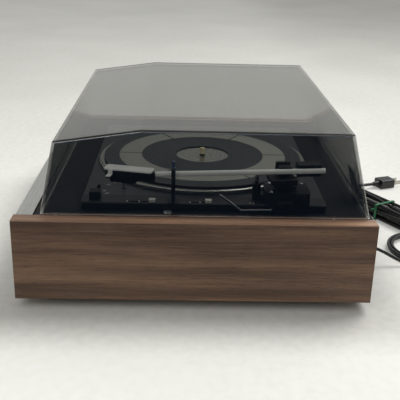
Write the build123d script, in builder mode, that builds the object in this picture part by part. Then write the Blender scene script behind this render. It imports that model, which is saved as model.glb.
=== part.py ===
from build123d import *
import math
import os

# A record changer turntable in a wood plinth, in millimetres.
# The origin is on the floor, under the middle of the plinth.
# The front faces -Y and the tonearm is on the +X side.
os.makedirs("parts", exist_ok=True)

# Fits and clearances
gap = 0.3
running_fit = 0.05
slot_clearance = 0.4

# Plinth
plinth_width = 450.0
plinth_depth = 390.0
panel_height = 92.0
panel_thickness = 19.0
panel_edge_round = 0.8
foot_height = 12.0
foot_radius = 11.0
foot_inset = 34.0
foot_screw_radius = 2.0
rail_thickness = 18.0
trim_drop = 3.0
trim_sheet = 1.5
trim_width = 17.0
deck_thickness = 12.0
deck_front_slit = 2.0
bottom_board = 5.0
bottom_rise = 4.0
block_side = 22.0
board_opening_margin = 10.0

# Chassis and its suspension
chassis_width = 329.0
chassis_depth = 274.0
chassis_from_right = 43.0
chassis_from_rear = 48.0
chassis_height = 8.0
chassis_sheet = 2.0
chassis_corner = 5.0
chassis_lift = 0.6
pan_radius = 92.0
pan_depth = 18.0
spring_outer = 9.0
spring_wall = 1.5
spring_inset = 26.0
spring_drop = 20.0
transit_screw_radius = 4.9
transit_screw_head = 2.2
transit_slot_width = 1.0
transit_slot_depth = 0.8

# Platter and drive
platter_from_right = 161.0
platter_from_rear = 136.0
platter_radius = 133.0
platter_rim_height = 4.6
platter_web = 2.4
platter_float = 0.9
mat_radius = 127.0
mat_thickness = 3.4
mat_sunk = 0.9
ring_outer = 108.0
ring_inner = 78.8
ring_segments = 6
ring_split = 0.5
disc_radius = 34.0
disc_thickness = 2.2
drive_rim_radius = 80.0
drive_rim_wall = 4.0
hub_radius = 9.5
bearing_radius = 6.0
bearing_flange = 22.0
spindle_radius = 3.55
spindle_neck_radius = 3.3
spindle_rise = 9.0
cap_height = 4.0
cap_round = 2.0
ledge_reach = 6.2
ledge_tail = 0.6
ledge_width = 2.0
ledge_height = 1.5
ledge_rise = 0.7
idler_radius = 18.0
idler_height = 4.0
pulley_radius = 4.0
idler_angle = 215.0
pulley_angle = 120.0
motor_radius = 31.0
motor_height = 42.0
gear_module = 1.25
pinion_teeth = 20
cam_teeth = 40
gear_height = 4.0
cam_angle = 40.0

# Tonearm
pivot_from_right = 12.5
pivot_from_rear = 47.0
pivot_z = 145.0
arm_heading = 6.6
tube_radius = 3.0
tube_wall = 0.6
tube_front = 146.6
tube_rear = 44.5
pivot_pin_radius = 1.5
yoke_reach = 18.0
yoke_front = 18.0
yoke_back = 11.0
turret_radius = 13.0
turret_drop = 14.3
base_ahead = 22.0
base_behind = 27.0
base_inside = 36.0
base_overhang = 3.5
base_height = 15.0
head_length = 54.0
head_width = 17.0
head_offset = 20.0
head_height = 9.5
plate_thickness = 1.4
stylus_reach = 44.0
weight_length = 26.0
weight_height = 14.5
lift_radius = 32.0
lift_travel = 5.0
lift_post_drop = 9.0
lift_post_radius = 5.0
swing_range = 43.0
dial_radius = 11.5
dial_height = 5.5
force_radius = 5.5
cue_radius = 1.25
cue_arm = 28.0
cue_handle = 52.0
cue_rise = 17.0
head_back = 1.0

# Arm rest
rest_overhang = 7.5
rest_ahead = 124.5
rest_post_radius = 2.3
rest_height = 42.0

# Dust cover
cover_wall = 3.0
cover_lift = 1.2
cover_side = 16.6
cover_front_inset = 28.0
cover_rear_inset = 6.0
cover_height = 91.8
cover_front_height = 78.3
cover_front_lean = 14.8
cover_rear_lean = 22.4
cover_bend_inset = 135.7
cover_side_lean = 10.7
cover_round = 3.8
bumper_inset = 17.0
bumper_radius = 1.4
hinge_inset = 95.0
hinge_rear_inset = 3.2
hinge_rise = 4.6
hinge_pin_radius = 1.5
knuckle_radius = 3.2
knuckle_width = 16.0
leaf_width = 36.0
leaf_height = 24.0
leaf_thickness = 1.5

# Controls
lever_block = 13.0
lever_travel = 42.0
slider_width = 7.0
slider_travel = 25.0
size_travel = 20.0
lever_from_right = 15.0
lever_from_front = 15.0
start_ahead_of_rest = 23.5
size_behind_rest = 39.1
reject_from_right = 46.0
reject_from_front = 44.4

# Cords
mains_diameter = 4.8
phono_diameter = 4.0
wind_step_gap = 0.7
hank_run = 110.0
hank_inner = 9.0
hank_heading = 30.0
hank_x = -58.0
hank_y = 283.0
coil_run = 30.0
coil_inner = 44.0
coil_x = 62.0
coil_y = 324.0
mains_exit_x = -178.0
mains_exit_z = 30.0
phono_exit_x = 104.0
phono_exit_z = 27.0
gland_radius = 6.0
gland_length = 9.0

# Levels and edges worked out from the sizes above
half_width = plinth_width / 2
half_depth = plinth_depth / 2
inner_x = half_width - panel_thickness
chassis_right = half_width - chassis_from_right
chassis_rear = half_depth - chassis_from_rear
platter_x = chassis_right - platter_from_right
platter_y = chassis_rear - platter_from_rear
pivot_x = chassis_right - pivot_from_right
pivot_y = chassis_rear - pivot_from_rear
base_front = pivot_y - base_ahead
base_rear = pivot_y + base_behind
base_left = chassis_right - base_inside
base_right = chassis_right + base_overhang
rest_x = chassis_right + rest_overhang
rest_y = pivot_y - rest_ahead
cover_front = cover_front_inset - half_depth
cover_rear = half_depth - cover_rear_inset
cover_bend = cover_bend_inset - half_depth
hinge_x = half_width - hinge_inset
hinge_y = half_depth - hinge_rear_inset
panel_top = foot_height + panel_height
trim_top = panel_top - trim_drop
rail_top = trim_top - trim_sheet
deck_top = trim_top
deck_bottom = deck_top - deck_thickness
board_low = foot_height + bottom_rise
board_top = board_low + bottom_board
chassis_left = chassis_right - chassis_width
chassis_front = chassis_rear - chassis_depth
chassis_base = deck_top + chassis_lift
chassis_top = chassis_base + chassis_height
pan_floor = chassis_top - pan_depth
platter_low = chassis_top + platter_float
platter_top = platter_low + platter_rim_height
mat_low = platter_top - mat_sunk
mat_top = mat_low + mat_thickness
cover_low = panel_top + cover_lift
cover_x = half_width - cover_side


def block(x0, x1, y0, y1, z0, z1, mode=Mode.ADD):
    with Locations(((x0 + x1) / 2, (y0 + y1) / 2, (z0 + z1) / 2)):
        Box(x1 - x0, y1 - y0, z1 - z0, mode=mode)


def post(x, y, z0, z1, radius, mode=Mode.ADD):
    with Locations((x, y, (z0 + z1) / 2)):
        Cylinder(radius, z1 - z0, mode=mode)


def rod_x(x0, x1, y, z, radius, mode=Mode.ADD):
    with Locations(Location(((x0 + x1) / 2, y, z), (0, 90, 0))):
        Cylinder(radius, x1 - x0, mode=mode)


def rod_y(x, y0, y1, z, radius, mode=Mode.ADD):
    with Locations(Location((x, (y0 + y1) / 2, z), (90, 0, 0))):
        Cylinder(radius, y1 - y0, mode=mode)


def save(builder, name):
    builder.part.label = name
    export_step(builder.part, f"parts/{name}.step")


# Wood side panels
with BuildPart() as side_panels:
    block(-half_width, -inner_x, -half_depth, half_depth, foot_height, panel_top)
    block(inner_x, half_width, -half_depth, half_depth, foot_height, panel_top)
    chamfer(side_panels.edges().filter_by(Axis.Y), panel_edge_round)
save(side_panels, "side_panels")

# Front and rear rails between the panels
rail_x = inner_x - gap / 2
with BuildPart() as front_rail:
    block(-rail_x, rail_x, -half_depth + trim_sheet, -half_depth + rail_thickness, foot_height, rail_top)
save(front_rail, "front_rail")

with BuildPart() as front_trim:
    block(-rail_x, rail_x, -half_depth, -half_depth + trim_width + trim_sheet, rail_top, trim_top)
    block(-rail_x, rail_x, -half_depth, -half_depth + trim_sheet, foot_height, rail_top)
    fillet(front_trim.edges().filter_by(Axis.X).group_by(Axis.Y)[0].group_by(Axis.Z)[-1], trim_sheet * 0.6)
save(front_trim, "front_trim")

with BuildPart() as rear_rail:
    block(-rail_x, rail_x, half_depth - rail_thickness, half_depth, foot_height, deck_top)
    rod_y(mains_exit_x, half_depth - rail_thickness, half_depth, mains_exit_z, gland_radius, Mode.SUBTRACT)
    rod_y(phono_exit_x, half_depth - rail_thickness, half_depth, phono_exit_z, gland_radius, Mode.SUBTRACT)
    for x in (-hinge_x, hinge_x):
        leaf_x = leaf_width / 2 + gap
        leaf_low = deck_top - leaf_height - gap
        leaf_face = half_depth - leaf_thickness
        block(x - leaf_x, x + leaf_x, leaf_face, half_depth, leaf_low, deck_top, Mode.SUBTRACT)
save(rear_rail, "rear_rail")

# Deck board with the cut-out for the mechanism
deck_front = -half_depth + trim_width + trim_sheet + deck_front_slit
deck_rear = half_depth - rail_thickness - gap
cut_left = chassis_left + board_opening_margin
cut_right = chassis_right - board_opening_margin
cut_front = chassis_front + board_opening_margin
cut_rear = chassis_rear - board_opening_margin
with BuildPart() as deck_board:
    block(-rail_x, rail_x, deck_front, deck_rear, deck_bottom, deck_top)
    block(cut_left, cut_right, cut_front, cut_rear, deck_bottom, deck_top, Mode.SUBTRACT)
save(deck_board, "deck_board")

with BuildPart() as base_board:
    board_front = -half_depth + rail_thickness + gap
    block(-rail_x, rail_x, board_front, deck_rear, board_low, board_top)
    with Locations((platter_x, platter_y, board_low)):
        with PolarLocations(pan_radius, 8):
            Cylinder(foot_radius, bottom_board * 3, mode=Mode.SUBTRACT)
save(base_board, "base_board")

# Glue blocks that join the rails and carry the deck
with BuildPart() as corner_blocks:
    for side in (-1, 1):
        for y0 in (board_front, deck_rear - block_side):
            outer = side * (rail_x - block_side / 2)
            block(outer - block_side / 2, outer + block_side / 2, y0, y0 + block_side, board_top, deck_bottom)
save(corner_blocks, "corner_blocks")

# Feet and their screws
foot_x = half_width - foot_inset
foot_y = half_depth - foot_inset - rail_thickness
foot_places = [(side * foot_x, end * foot_y) for side in (-1, 1) for end in (-1, 1)]
with BuildPart() as rubber_feet:
    for x, y in foot_places:
        post(x, y, 0, board_low, foot_radius)
    chamfer(rubber_feet.edges().group_by(Axis.Z)[0], 1.0)
    for x, y in foot_places:
        post(x, y, 0, foot_height - bottom_board, foot_screw_radius * 2.2, Mode.SUBTRACT)
        post(x, y, 0, board_low, foot_screw_radius, Mode.SUBTRACT)
save(rubber_feet, "rubber_feet")

with BuildPart() as foot_screws:
    for x, y in foot_places:
        post(x, y, foot_height - bottom_board - 2, foot_height - bottom_board, foot_screw_radius * 2)
        post(x, y, foot_height - bottom_board, board_low, foot_screw_radius - running_fit)
save(foot_screws, "foot_screws")

# Control places on the chassis, which has a slot for each stem
lever_x = chassis_right - lever_from_right
lever_y = chassis_front + lever_from_front
strip_x = chassis_right - 5
start_y = rest_y - start_ahead_of_rest
size_y = rest_y + size_behind_rest
reject_x = chassis_right - reject_from_right
reject_y = chassis_front + reject_from_front
stem = 1.2

# Chassis: a pressed steel plate with a turned-down edge and a round pan under the platter
with BuildPart() as chassis_plate:
    block(chassis_left, chassis_right, chassis_front, chassis_rear, chassis_base, chassis_top)
    fillet(chassis_plate.edges().filter_by(Axis.Z), chassis_corner)
    fillet(chassis_plate.faces().sort_by(Axis.Z)[-1].edges(), 1.5)
    block(
        chassis_left + chassis_sheet,
        chassis_right - chassis_sheet,
        chassis_front + chassis_sheet,
        chassis_rear - chassis_sheet,
        chassis_base,
        chassis_top - chassis_sheet,
        Mode.SUBTRACT,
    )
    pan_outer = pan_radius + chassis_sheet
    post(platter_x, platter_y, pan_floor - chassis_sheet, chassis_top - chassis_sheet, pan_outer)
    post(platter_x, platter_y, pan_floor, chassis_top, pan_radius, Mode.SUBTRACT)
    idler_reach = drive_rim_radius - idler_radius - gap
    idler_x = platter_x + idler_reach * math.cos(math.radians(idler_angle))
    idler_y = platter_y + idler_reach * math.sin(math.radians(idler_angle))
    pulley_reach = idler_radius + pulley_radius + gap
    pulley_x = idler_x + pulley_reach * math.cos(math.radians(pulley_angle))
    pulley_y = idler_y + pulley_reach * math.sin(math.radians(pulley_angle))
    post(pulley_x, pulley_y, pan_floor - chassis_sheet, pan_floor, pulley_radius + 4, Mode.SUBTRACT)
    slot = stem + slot_clearance
    for x0, x1, y0, y1 in (
        (lever_x - slot - lever_travel, lever_x + slot, lever_y - slot, lever_y + slot),
        (strip_x - slot, strip_x + slot, start_y - slot - slider_travel, start_y + slot),
        (strip_x - slot, strip_x + slot, size_y - slot - size_travel, size_y + slot),
        (reject_x - slot, reject_x + slot, reject_y - slot - 1, reject_y + slot + 1),
    ):
        block(x0, x1, y0, y1, chassis_top - 2 * chassis_sheet, chassis_top, Mode.SUBTRACT)
save(chassis_plate, "chassis_plate")

# Suspension springs stand on lugs of the deck board's opening
spring_low = deck_bottom - spring_drop
spring_places = [
    (x, y)
    for x in (cut_left + spring_inset, cut_right - spring_inset)
    for y in (cut_front + spring_inset, cut_rear - spring_inset)
]
with BuildPart() as suspension_springs:
    for x, y in spring_places:
        post(x, y, spring_low, chassis_top - chassis_sheet, spring_outer)
        post(x, y, spring_low, chassis_top - chassis_sheet, spring_outer - spring_wall, Mode.SUBTRACT)
save(suspension_springs, "suspension_springs")

bracket_half = 10.0
with BuildPart() as spring_brackets:
    for x, y in spring_places:
        side = 1 if x > platter_x else -1
        wall = cut_right if side > 0 else cut_left
        foot = wall + side * (2 * bracket_half - 4)
        tread_left = min(x, foot) - bracket_half
        tread_right = max(x, foot) + bracket_half
        riser = sorted((wall + side * 4, wall + side * 2 * bracket_half))
        block(tread_left, tread_right, y - bracket_half, y + bracket_half, spring_low - 2, spring_low)
        block(riser[0], riser[1], y - bracket_half, y + bracket_half, spring_low, deck_bottom)
save(spring_brackets, "spring_brackets")

# Transit screws, tightened, beside the chassis edge
transit_places = [(chassis_right + 6, -30.5), (chassis_left - 6, 60.0), (chassis_left - 6, -80.0)]
with BuildPart() as transit_screws:
    for x, y in transit_places:
        post(x, y, deck_top, deck_top + transit_screw_head, transit_screw_radius)
    fillet(transit_screws.edges().group_by(Axis.Z)[-1], transit_screw_head * 0.8)
    for x, y in transit_places:
        slot_end = transit_screw_radius
        slot_half = transit_slot_width / 2
        slot_floor = deck_top + transit_screw_head - transit_slot_depth
        slot_top = deck_top + 4
        block(x - slot_end, x + slot_end, y - slot_half, y + slot_half, slot_floor, slot_top, Mode.SUBTRACT)
save(transit_screws, "transit_screws")

# Platter bearing: flanged steel post, ball race and the fixed record spindle
with BuildPart() as bearing_post:
    post(platter_x, platter_y, pan_floor, pan_floor + 2, bearing_flange)
    post(platter_x, platter_y, pan_floor + 2, platter_top - platter_web - 1, bearing_radius)
    post(platter_x, platter_y, pan_floor, platter_top, spindle_neck_radius + running_fit, Mode.SUBTRACT)
save(bearing_post, "bearing_post")

race_low = pan_floor + 2 + running_fit
race_top = race_low + 3
with BuildPart() as ball_race:
    post(platter_x, platter_y, race_low, race_low + 1.5, hub_radius)
    post(platter_x, platter_y, race_low, race_top, bearing_radius + 0.3, Mode.SUBTRACT)
    with Locations((platter_x, platter_y, race_top - 1.2)):
        with PolarLocations((hub_radius + bearing_radius) / 2, 8):
            Sphere(1.2)
save(ball_race, "ball_race")

spindle_top = mat_top + spindle_rise
cap_low = spindle_top - cap_height
with BuildPart() as record_spindle:
    post(platter_x, platter_y, pan_floor, mat_top, spindle_neck_radius)
    post(platter_x, platter_y, mat_top, cap_low, spindle_radius)
save(record_spindle, "record_spindle")

ledge_low = cap_low + ledge_rise
ledge_high = ledge_low + ledge_height
with BuildPart() as spindle_cap:
    post(platter_x, platter_y, cap_low, spindle_top, spindle_neck_radius)
    fillet(spindle_cap.edges().group_by(Axis.Z)[-1], cap_round)
    slot_half = ledge_width / 2 + running_fit
    block(
        platter_x - slot_half,
        platter_x + slot_half,
        platter_y - spindle_radius,
        platter_y + spindle_radius,
        ledge_low - running_fit,
        ledge_high + running_fit,
        Mode.SUBTRACT,
    )
save(spindle_cap, "spindle_cap")

# The small ledge slides into the cap when a record is pushed over it
with BuildPart() as spindle_ledge:
    block(
        platter_x - ledge_width / 2,
        platter_x + ledge_width / 2,
        platter_y - ledge_reach,
        platter_y + ledge_tail,
        ledge_low,
        ledge_high,
    )
    fillet(spindle_ledge.edges().filter_by(Axis.Z).group_by(Axis.Y)[0], ledge_width / 2 - running_fit)
save(spindle_ledge, "spindle_ledge")


# Platter: a turned aluminium disc with a drive rim, a hub and a pinion below
def gear_teeth(teeth, centre_x, centre_y, z0, height, phase):
    pitch_radius = gear_module * teeth / 2
    tooth = math.pi * gear_module
    low = pitch_radius - 1.2 * gear_module
    high = pitch_radius + 0.8 * gear_module
    corners = [(low, -0.25 * tooth), (high, -0.11 * tooth), (high, 0.11 * tooth), (low, 0.25 * tooth)]
    with BuildSketch(Plane.XY.offset(z0)) as outline:
        with Locations((centre_x, centre_y)):
            with PolarLocations(0, teeth, start_angle=phase):
                Polygon(*corners, align=None)
    extrude(outline.sketch, amount=height)


pinion_radius = gear_module * pinion_teeth / 2
cam_radius = gear_module * cam_teeth / 2
cam_reach = pinion_radius + cam_radius
cam_x = platter_x + cam_reach * math.cos(math.radians(cam_angle))
cam_y = platter_y + cam_reach * math.sin(math.radians(cam_angle))
gear_low = race_top + 0.6
with BuildPart() as platter:
    post(platter_x, platter_y, platter_low, platter_top, platter_radius)
    fillet(platter.edges().group_by(Axis.Z)[-1], 2.0)
    post(platter_x, platter_y, mat_low, platter_top, mat_radius + gap, Mode.SUBTRACT)
    web_low = platter_top - mat_sunk - platter_web
    post(platter_x, platter_y, platter_low, web_low, platter_radius - 4, Mode.SUBTRACT)
    post(platter_x, platter_y, race_top, mat_low - platter_web, drive_rim_radius + drive_rim_wall)
    post(platter_x, platter_y, race_top, mat_low - platter_web, drive_rim_radius, Mode.SUBTRACT)
    post(platter_x, platter_y, race_top, mat_low - platter_web, hub_radius)
    gear_teeth(pinion_teeth, platter_x, platter_y, gear_low, gear_height, cam_angle)
    post(platter_x, platter_y, gear_low, gear_low + gear_height, pinion_radius - 1.0 * gear_module)
    post(platter_x, platter_y, race_top, platter_top, bearing_radius + running_fit, Mode.SUBTRACT)
save(platter, "platter")

with BuildPart() as cam_gear:
    gear_teeth(cam_teeth, cam_x, cam_y, gear_low, gear_height, cam_angle + 180 + 180 / cam_teeth)
    post(cam_x, cam_y, gear_low, gear_low + gear_height, cam_radius - 1.0 * gear_module)
    post(cam_x, cam_y, gear_low, gear_low + gear_height, 3 + running_fit, Mode.SUBTRACT)
save(cam_gear, "cam_gear")

with BuildPart() as cam_stud:
    post(cam_x, cam_y, pan_floor, gear_low - gap, 5)
    post(cam_x, cam_y, gear_low - gap, gear_low + gear_height + 1, 3)
save(cam_stud, "cam_stud")

# Rubber mats and the segmented ring between them
with BuildPart() as platter_mat:
    post(platter_x, platter_y, mat_low, mat_low + mat_thickness, mat_radius)
    post(platter_x, platter_y, mat_low + 1.6, mat_top, ring_outer, Mode.SUBTRACT)
    post(platter_x, platter_y, mat_low + 1.6, mat_top, ring_inner - gap)
    post(platter_x, platter_y, mat_low, mat_top, disc_radius + gap, Mode.SUBTRACT)
save(platter_mat, "platter_mat")

with BuildPart() as mat_ring:
    post(platter_x, platter_y, mat_low + 1.6, mat_top + 0.3, ring_outer - gap)
    post(platter_x, platter_y, mat_low + 1.6, mat_top + 0.3, ring_inner, Mode.SUBTRACT)
    with Locations((platter_x, platter_y, mat_top)):
        with PolarLocations((ring_outer + ring_inner) / 2, ring_segments, start_angle=90):
            Box(ring_outer, ring_split, 2 * mat_thickness, mode=Mode.SUBTRACT)
save(mat_ring, "mat_ring")

with BuildPart() as centre_disc:
    post(platter_x, platter_y, mat_low, mat_low + disc_thickness, disc_radius)
    post(platter_x, platter_y, mat_low, mat_low + disc_thickness, spindle_radius + 0.4, Mode.SUBTRACT)
save(centre_disc, "centre_disc")

# Idler drive and motor
idler_low = race_top + 2
with BuildPart() as idler_wheel:
    post(idler_x, idler_y, idler_low, idler_low + idler_height, idler_radius)
    post(idler_x, idler_y, idler_low, idler_low + idler_height, 2 + running_fit, Mode.SUBTRACT)
save(idler_wheel, "idler_wheel")

with BuildPart() as idler_arm:
    post(idler_x, idler_y, pan_floor, idler_low - gap, 4)
    post(idler_x, idler_y, idler_low - gap, idler_low + idler_height + 1, 2)
    block(idler_x - 4, idler_x + 30, idler_y - 4, idler_y + 4, pan_floor, pan_floor + 1.5)
save(idler_arm, "idler_arm")

motor_top = pan_floor - chassis_sheet - 4
with BuildPart() as motor_body:
    post(pulley_x, pulley_y, motor_top - motor_height, motor_top, motor_radius)
    fillet(motor_body.edges(), 2.5)
    post(pulley_x, pulley_y, motor_top, motor_top + 4, 6)
    post(pulley_x, pulley_y, motor_top, idler_low + idler_height + 2, 1.5)
save(motor_body, "motor_body")

with BuildPart() as motor_pulley:
    post(pulley_x, pulley_y, motor_top + 4 + gap, idler_low + idler_height + 1.5, pulley_radius)
    post(pulley_x, pulley_y, motor_top, idler_low + idler_height + 3, 1.5 + running_fit, Mode.SUBTRACT)
save(motor_pulley, "motor_pulley")

with BuildPart() as motor_mounts:
    with Locations((pulley_x, pulley_y, (motor_top + pan_floor - chassis_sheet) / 2)):
        with PolarLocations(motor_radius - 6, 3):
            Cylinder(4, pan_floor - chassis_sheet - motor_top)
save(motor_mounts, "motor_mounts")

# Tonearm base, fixed on the chassis
with BuildPart() as arm_base:
    block(base_left, base_right, base_front, base_rear, chassis_top, chassis_top + base_height)
    fillet(arm_base.edges().filter_by(Axis.Z), 4)
    block(chassis_right + gap, base_right, base_front + 4, base_rear - 4, chassis_base, chassis_top + 1)
    turret_top = pivot_z - turret_drop
    post(pivot_x, pivot_y, chassis_top + base_height, turret_top, turret_radius)
    lift_angle = math.radians(arm_heading - swing_range / 2)
    lift_x = pivot_x + lift_radius * math.sin(lift_angle)
    lift_y = pivot_y - lift_radius * math.cos(lift_angle)
    lift_post_top = pivot_z - tube_radius - lift_travel - lift_post_drop
    post(lift_x, lift_y, chassis_top, lift_post_top, lift_post_radius)
    post_left = lift_x - lift_post_radius
    post_right = lift_x + lift_post_radius
    block(post_left, post_right, lift_y, base_front + 4, chassis_top, chassis_top + 6)
    post(pivot_x, pivot_y, chassis_top + 2, turret_top, 3 + running_fit, Mode.SUBTRACT)
    post(lift_x, lift_y, chassis_top + 2, pivot_z, 2 + running_fit, Mode.SUBTRACT)
    dial_x = base_right - 5
    dial_z = chassis_top + 1.2
    post(dial_x, pivot_y - 1, dial_z - gap, dial_z + dial_height + gap, dial_radius + gap, Mode.SUBTRACT)
    cue_z = chassis_base + 5
    rod_x(chassis_right, base_right, base_front + 6, cue_z, cue_radius + running_fit, Mode.SUBTRACT)
save(arm_base, "arm_base")

with BuildPart() as antiskate_dial:
    post(dial_x, pivot_y - 1, dial_z, dial_z + dial_height, dial_radius)
    chamfer(antiskate_dial.edges().group_by(Axis.Z)[-1], 0.8)
save(antiskate_dial, "antiskate_dial")

force_z = chassis_top + base_height - force_radius - 1
force_y = base_rear - 9
with BuildPart() as force_dial:
    rod_x(base_right + gap, base_right + 3, force_y, force_z, force_radius)
save(force_dial, "force_dial")

# Moving arm pieces are drawn in the arm's own frame: x forward along the tube, y to the outer side
heading = math.radians(arm_heading)
arm_forward = (math.sin(heading), -math.cos(heading), 0)
arm_plane = Plane((pivot_x, pivot_y, pivot_z), x_dir=arm_forward, z_dir=(0, 0, 1))
with BuildPart(arm_plane) as gimbal_yoke:
    block(-yoke_back, yoke_front, -yoke_reach, 11, -12, -6.8)
    block(-8, 8, -yoke_reach, -yoke_reach + 5, -6.8, 6.5)
    post(0, 0, -14, -12, 9)
    post(0, 0, -26, -14, 3)
    rod_y(0, -yoke_reach, -yoke_reach + 5, 0, pivot_pin_radius + running_fit, Mode.SUBTRACT)
save(gimbal_yoke, "gimbal_yoke")

with BuildPart(arm_plane) as pivot_block:
    block(-7, 7, -yoke_reach + 5 + gap, 0, -5, 4.5)
    rod_x(-8, 8, 0, 0, tube_radius, Mode.SUBTRACT)
    rod_y(0, -yoke_reach - 1, -tube_radius - gap, 0, pivot_pin_radius)
save(pivot_block, "pivot_block")

with BuildPart(arm_plane) as tonearm_tube:
    tube_end = tube_front - head_back * math.cos(math.radians(head_offset))
    rod_x(-tube_rear, tube_end, 0, 0, tube_radius)
    rod_x(-tube_rear, tube_end, 0, 0, tube_radius - tube_wall, Mode.SUBTRACT)
save(tonearm_tube, "tonearm_tube")

weight_back = -tube_rear + 4
with BuildPart(arm_plane) as counterweight:
    block(weight_back, weight_back + weight_length, -15, 0, -weight_height / 2, weight_height / 2)
    fillet(counterweight.edges().filter_by(lambda e: e.length > weight_length - 1), 2.5)
    rod_x(-tube_rear, 0, 0, 0, tube_radius, Mode.SUBTRACT)
save(counterweight, "counterweight")

# Headshell, turned inwards from the tube
head_angle = heading - math.radians(head_offset)
head_x = pivot_x + tube_front * math.sin(heading)
head_y = pivot_y - tube_front * math.cos(heading)
head_forward = (math.sin(head_angle), -math.cos(head_angle), 0)
head_plane = Plane((head_x, head_y, pivot_z), x_dir=head_forward, z_dir=(0, 0, 1))
head_top = tube_radius - 0.2
neck_half = 4.5
neck_slant = neck_half * math.tan(math.radians(head_offset))
with BuildPart(head_plane) as headshell:
    with BuildSketch(head_plane.offset(head_top - head_height)):
        with BuildLine():
            Polyline(
                (-head_back + neck_slant, -neck_half),
                (8, -head_width / 2),
                (head_length - 3, -head_width / 2),
                (head_length, -head_width / 2 + 4),
                (head_length, head_width / 2 - 4),
                (head_length - 3, head_width / 2),
                (8, head_width / 2),
                (-head_back - neck_slant, neck_half),
                close=True,
            )
        make_face()
    extrude(amount=head_height)
    cavity = head_width / 2 - 1.5
    block(14, head_length - 3, -cavity, cavity, head_top - head_height, head_top - 3, Mode.SUBTRACT)
save(headshell, "headshell")

with BuildPart(head_plane) as headshell_plate:
    with BuildSketch(head_plane.offset(head_top)):
        with Locations((head_length / 2 + 1, 0)):
            RectangleRounded(head_length, head_width - 1, 3)
    extrude(amount=plate_thickness)
    edge = head_width / 2
    lift_back = head_length - 10
    lift_front = head_length - 5
    lip_low = head_top - 4.5
    block(lift_back, lift_front, edge - 1, edge + 1.2, lip_low, head_top + plate_thickness)
    block(lift_back, lift_front, edge, edge + 9, lip_low, head_top - 3.3)
    block(lift_back - 1, lift_front + 1, edge - 2, edge + gap, head_top - 5, head_top, Mode.SUBTRACT)
save(headshell_plate, "headshell_plate")

cartridge_low = head_top - head_height - 4.5
with BuildPart(head_plane) as cartridge:
    block(18, head_length - 6, -6.2, 6.2, cartridge_low, head_top - 3)
    chamfer(cartridge.edges().filter_by(lambda e: abs(e.length - 12.4) < 0.1).group_by(Axis.Z)[0], 1.5)
save(cartridge, "cartridge")

with BuildPart(head_plane) as stylus:
    block(stylus_reach - 8, stylus_reach + 2, -2, 2, cartridge_low - 2, cartridge_low)
    with Locations((stylus_reach, 0, cartridge_low - 2.8)):
        Cone(0.25, 0.8, 1.6)
save(stylus, "stylus")

# Arm rest with its latch
cradle_z = pivot_z - tube_radius - gap
with BuildPart() as arm_rest:
    block(chassis_right - 6, rest_x + 2.5, rest_y - 7, rest_y + 7, chassis_top, chassis_top + 4)
    fillet(arm_rest.edges().filter_by(Axis.Z), 2)
    post(rest_x, rest_y, chassis_top + 4, chassis_top + rest_height, rest_post_radius)
    block(rest_x - 10, rest_x, rest_y - 2.3, rest_y + 2.3, cradle_z - 4, cradle_z)
save(arm_rest, "arm_rest")

latch_z = chassis_top + rest_height + 1.6
with BuildPart() as arm_latch:
    rod_y(rest_x, rest_y - 2.3, rest_y + 2.3, latch_z, 1.3)
    block(rest_x - 1.1, rest_x + 1.1, rest_y - 1.8, rest_y + 1.8, latch_z, latch_z + 8)
save(arm_latch, "arm_latch")

# Cue lever, a bent rod, and the bar that lifts the arm
with BuildPart() as cue_lever:
    with BuildLine() as cue_path:
        FilletPolyline(
            (chassis_right + 2 * gap, base_front + 6, cue_z),
            (base_right + 4, base_front + 6, cue_z),
            (base_right + 4, base_front - cue_arm, cue_z - 0.8),
            (base_right + 3, base_front - cue_handle, cue_z + cue_rise),
            radius=2.5,
        )
    with BuildSketch(Plane(cue_path.line @ 0, z_dir=cue_path.line % 0)):
        Circle(cue_radius)
    sweep()
save(cue_lever, "cue_lever")

bar_top = pivot_z - tube_radius - lift_travel - 0.5
with BuildPart() as lift_bar:
    with BuildSketch(Plane((pivot_x, pivot_y, bar_top - 2.5), x_dir=(0, -1, 0), z_dir=(0, 0, 1))):
        with BuildLine():
            outer = CenterArc((0, 0), lift_radius + 2.4, arm_heading - swing_range - 8, swing_range + 16)
            inner = CenterArc((0, 0), lift_radius, arm_heading - swing_range - 8, swing_range + 16)
            Line(outer @ 0, inner @ 0)
            Line(outer @ 1, inner @ 1)
        make_face()
    extrude(amount=2.5)
    post(lift_x, lift_y, bar_top - 22, bar_top - 1, 2)
save(lift_bar, "lift_bar")

# Controls
with BuildPart() as speed_lever:
    half = lever_block / 2
    knob_low = chassis_top + gap
    block(lever_x - half, lever_x + half, lever_y - half, lever_y + half, knob_low, chassis_top + 7.5)
    fillet(speed_lever.edges().filter_by(Axis.Z), 1.5)
    block(lever_x - 6.1, lever_x + 6.1, lever_y - 6.1, lever_y + 6.1, chassis_top + 7.5, chassis_top + 9)
    block(lever_x - stem, lever_x + stem, lever_y - stem, lever_y + stem, chassis_top - 5, chassis_top + 1)
save(speed_lever, "speed_lever")

with BuildPart() as start_slider:
    half = slider_width / 2
    block(strip_x - 3, strip_x + 3, start_y - half, start_y + half, chassis_top + gap, chassis_top + 3.4)
    block(strip_x - stem, strip_x + stem, start_y - stem, start_y + stem, chassis_top - 5, chassis_top + 1)
save(start_slider, "start_slider")

with BuildPart() as size_slider:
    block(strip_x - 3, strip_x + 3, size_y - half, size_y + half, chassis_top + gap, chassis_top + 3.4)
    block(strip_x - stem, strip_x + stem, size_y - stem, size_y + stem, chassis_top - 5, chassis_top + 1)
save(size_slider, "size_slider")

reject_pivot_z = chassis_top - 1.0
with BuildPart() as reject_lever:
    rod_x(reject_x - stem, reject_x + stem, reject_y, reject_pivot_z, stem)
    block(reject_x - stem, reject_x + stem, reject_y - stem, reject_y + stem, reject_pivot_z, chassis_top + 9)
    fillet(reject_lever.edges().group_by(Axis.Z)[-1], 0.8)
save(reject_lever, "reject_lever")


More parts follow.
